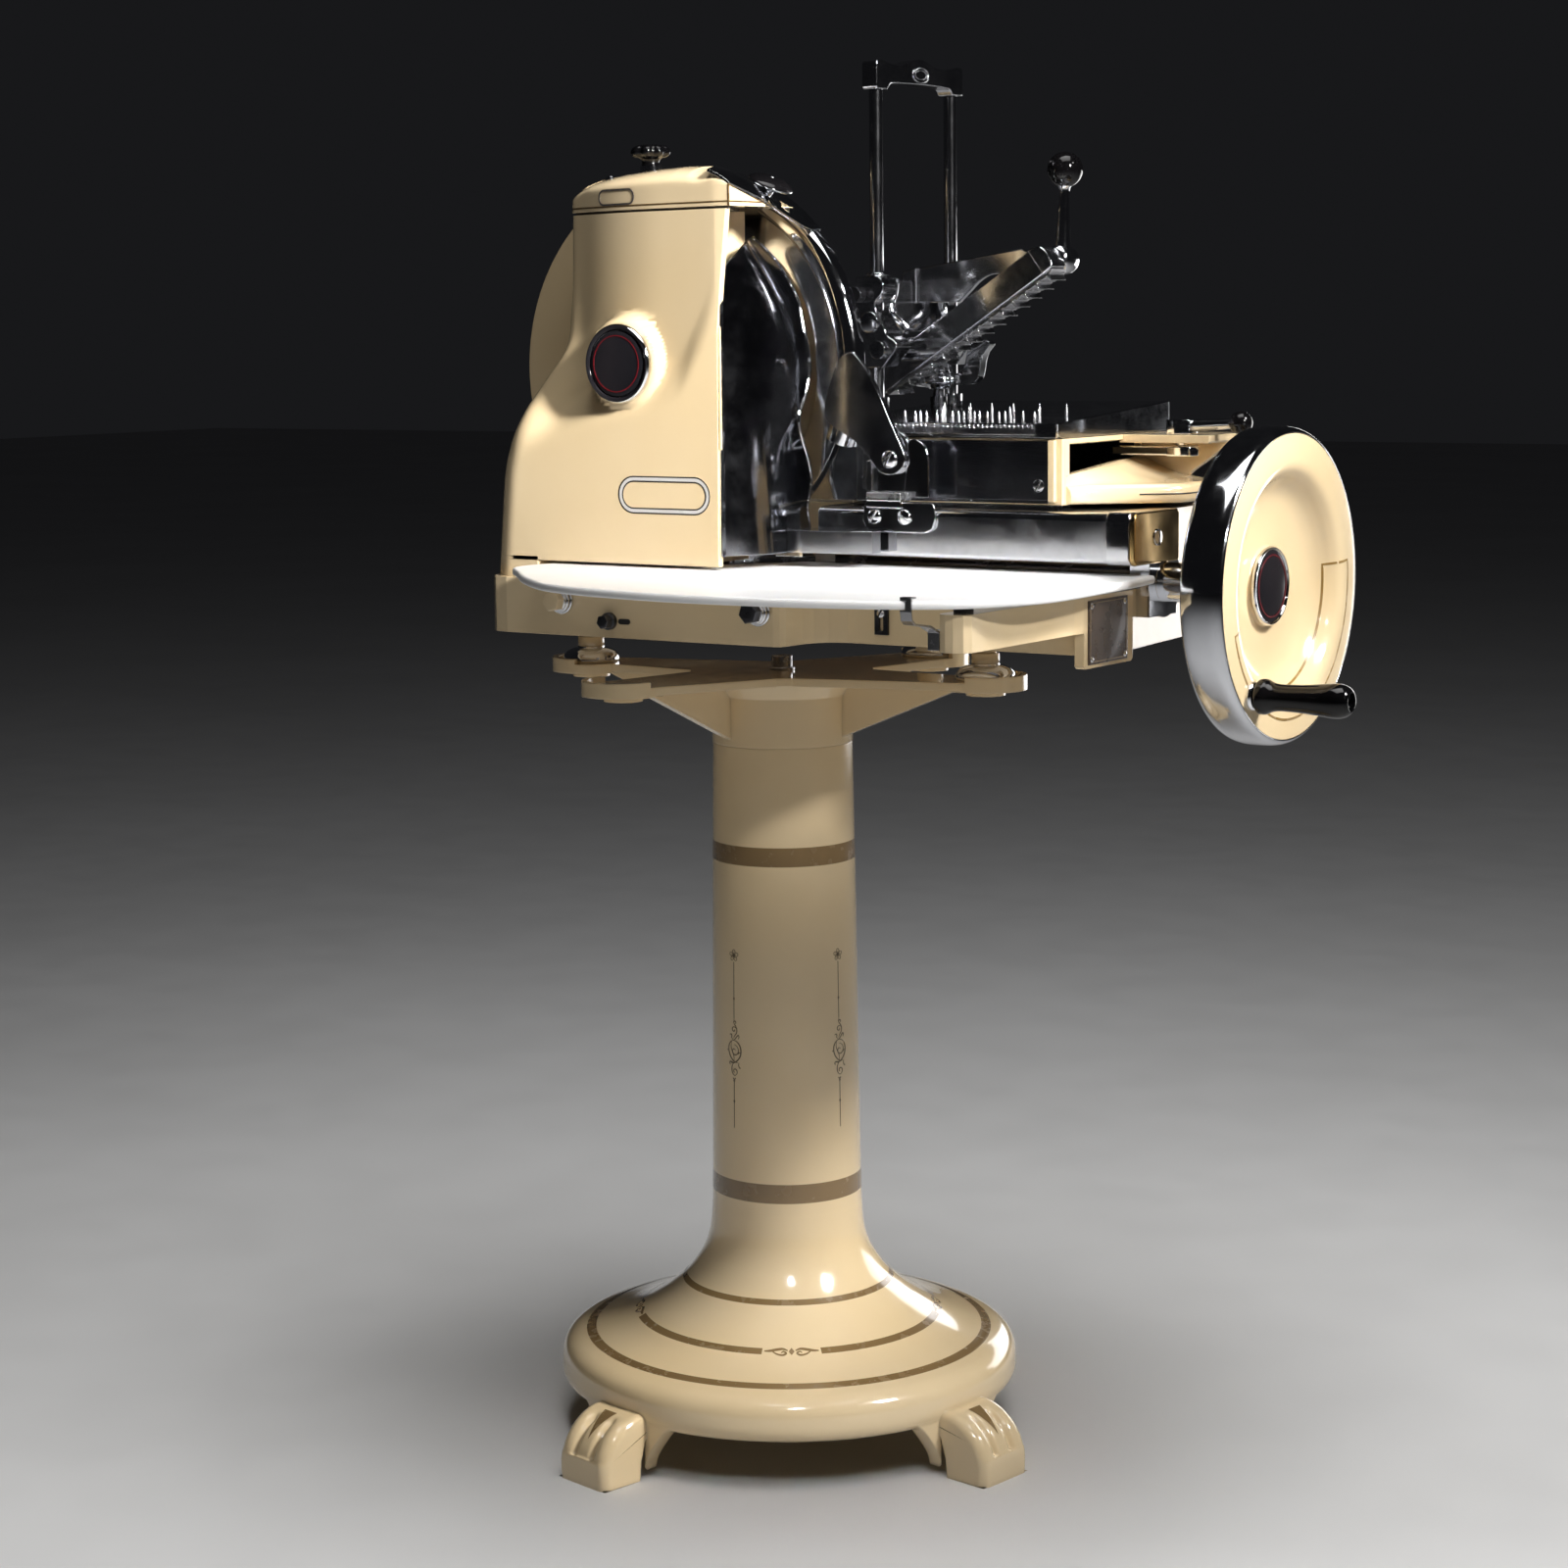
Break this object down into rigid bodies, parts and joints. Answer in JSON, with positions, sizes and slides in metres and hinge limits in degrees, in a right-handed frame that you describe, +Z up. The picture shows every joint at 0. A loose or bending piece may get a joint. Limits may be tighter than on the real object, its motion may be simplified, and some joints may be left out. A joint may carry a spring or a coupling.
{
  "type": "flywheel meat slicer",
  "caption": "Hand-cranked flywheel slicer on a cast pedestal: round knife behind a polished guard, sliding meat table with hinged press, receiving tray and chrome-rimmed flywheel.",
  "frame": {"origin": "on the floor, under the middle of the whole machine's bounding box", "axes": "+Z up; +X along the machine towards the flywheel; -Y towards the operator's side with the knife housing and the tray"},
  "size_m": [0.972, 0.7171, 1.428],
  "materials": {
    "cream_enamel": "glossy cream stove enamel on castings",
    "chrome_trim": "polished chrome plate",
    "knife_steel": "ground and polished hollow steel",
    "polished_aluminium": "polished aluminium sheet and castings",
    "machined_steel": "turned and ground steel",
    "bronze_bushes": "plain bearing bronze",
    "tray_plastic": "smooth white food tray",
    "black_bakelite": "glossy black moulded knobs and grip",
    "badge_dark": "dark glossy enamel with a thin red ring and a chrome rim",
    "plate_brown": "dark brown lacquered plate with steel rivets",
    "dark_hardware": "darkened steel screws, studs and stops",
    "stone_grey": "bonded abrasive stone"
  },
  "bodies": {
    "stand": {"base_frame": "cream_enamel", "blank_plate": "plate_brown", "deflector_foot": "chrome_trim", "drive_chain": "dark_hardware", "flywheel_bearing": "chrome_trim", "front_bolts": "chrome_trim", "gauge_plate": "polished_aluminium", "guard_bracket": "chrome_trim", "guard_hood": "chrome_trim", "guard_ring": "chrome_trim", "housing_badge": "badge_dark", "housing_cap": "cream_enamel", "knife_bushes": "bronze_bushes", "knife_cover": "cream_enamel", "knife_housing": "cream_enamel", "machine_feet": "chrome_trim", "pedestal_column": "cream_enamel", "pedestal_head": "cream_enamel", "rail_end_cap": "cream_enamel", "rail_housing": "chrome_trim", "rear_rail": "machined_steel", "receiving_tray": "tray_plastic", "shaft_blocks": "machined_steel", "sharpener_carrier": "chrome_trim", "slice_deflector": "polished_aluminium", "slotted_screws": "chrome_trim", "slotted_stop_plate": "dark_hardware", "tie_rod": "machined_steel", "tray_clip": "machined_steel", "tray_studs": "dark_hardware"},
    "carriage": {"carriage": "cream_enamel", "carriage_front_panel": "chrome_trim", "feed_link": "chrome_trim", "feed_screw": "machined_steel"},
    "table": {"meat_table": "polished_aluminium", "table_spikes": "machined_steel", "clamp_post": "dark_hardware", "press_posts": "chrome_trim", "press_top_bar": "chrome_trim"},
    "hand_nut": {"hand_nut": "chrome_trim"},
    "press_slide": {"press_slide": "chrome_trim", "arm_hinge_pin": "chrome_trim"},
    "slide_lock": {"slide_lock_knob": "dark_hardware"},
    "press_arm": {"press_arm": "chrome_trim", "toothed_strip": "machined_steel", "press_lever": "chrome_trim", "press_ball": "black_bakelite"},
    "feed_lever": {"feed_lever": "chrome_trim"},
    "flywheel": {"flywheel_shaft": "machined_steel", "flywheel_rim": "chrome_trim", "flywheel_web": "cream_enamel", "flywheel_badge": "badge_dark", "crank_pin": "chrome_trim"},
    "grip": {"crank_grip": "black_bakelite"},
    "cross_shaft": {"cross_shaft": "machined_steel"},
    "knife": {"knife_shaft": "machined_steel", "knife_blade": "knife_steel"},
    "sharpener_knob": {"sharpener_knob": "black_bakelite"},
    "grinding_stone": {"grinding_stone": "stone_grey"},
    "hood_knob": {"hood_knob": "chrome_trim"}
  },
  "joints": [
    {"name": "flywheel_spin", "type": "hinge", "parent": "stand", "child": "flywheel", "pos_m": [0.31385, 0.0597, 0.912], "axis": [1, 0, 0], "continuous": true},
    {"name": "grip_spin", "type": "hinge", "parent": "flywheel", "child": "grip", "pos_m": [0.43385, -0.02231, 0.81766], "axis": [1, 0, 0], "continuous": true},
    {"name": "cross_shaft_spin", "type": "hinge", "parent": "stand", "child": "cross_shaft", "pos_m": [-0.25815, 0.0597, 0.912], "axis": [0, 1, 0], "continuous": true},
    {"name": "knife_spin", "type": "hinge", "parent": "stand", "child": "knife", "pos_m": [-0.25815, -0.0203, 1.117], "axis": [0, 1, 0], "continuous": true},
    {"name": "carriage_stroke", "type": "slide", "parent": "stand", "child": "carriage", "axis": [1, 0, 0], "range_m": [-0.23, 0]},
    {"name": "table_advance", "type": "slide", "parent": "carriage", "child": "table", "axis": [0, 1, 0], "range_m": [0, 0.08]},
    {"name": "feed_lever_turn", "type": "hinge", "parent": "carriage", "child": "feed_lever", "pos_m": [0.21785, 0.1717, 1.057], "axis": [0, 0, 1], "range_deg": [-20, 60]},
    {"name": "hand_nut_turn", "type": "hinge", "parent": "table", "child": "hand_nut", "pos_m": [-0.08015, 0.2017, 1.102], "axis": [0, 0, 1], "range_deg": [-6, 24]},
    {"name": "press_height", "type": "slide", "parent": "table", "child": "press_slide", "axis": [0, 0, 1], "range_m": [0, 0.16]},
    {"name": "slide_lock_turn", "type": "hinge", "parent": "press_slide", "child": "slide_lock", "pos_m": [-0.09615, 0.0697, 1.19], "axis": [0, 1, 0], "range_deg": [-120, 120]},
    {"name": "press_arm_swing", "type": "hinge", "parent": "press_slide", "child": "press_arm", "pos_m": [-0.07215, 0.1597, 1.134], "axis": [0, -1, 0], "range_deg": [-4, 35]},
    {"name": "sharpener_turn", "type": "hinge", "parent": "stand", "child": "sharpener_knob", "pos_m": [-0.26515, -0.0503, 1.33], "axis": [0, 0, 1], "range_deg": [-170, 170]},
    {"name": "stone_spin", "type": "hinge", "parent": "stand", "child": "grinding_stone", "pos_m": [-0.22015, -0.0403, 1.255], "axis": [0, 1, 0], "continuous": true},
    {"name": "hood_knob_turn", "type": "hinge", "parent": "stand", "child": "hood_knob", "pos_m": [-0.14415, -0.0183, 1.292], "axis": [0.4315, 0, 0.9021], "range_deg": [-170, 170]}
  ],
  "couplings": [
    {"joint": "cross_shaft_spin", "follows": "flywheel_spin", "ratio": 1},
    {"joint": "knife_spin", "follows": "flywheel_spin", "ratio": 1}
  ]
}
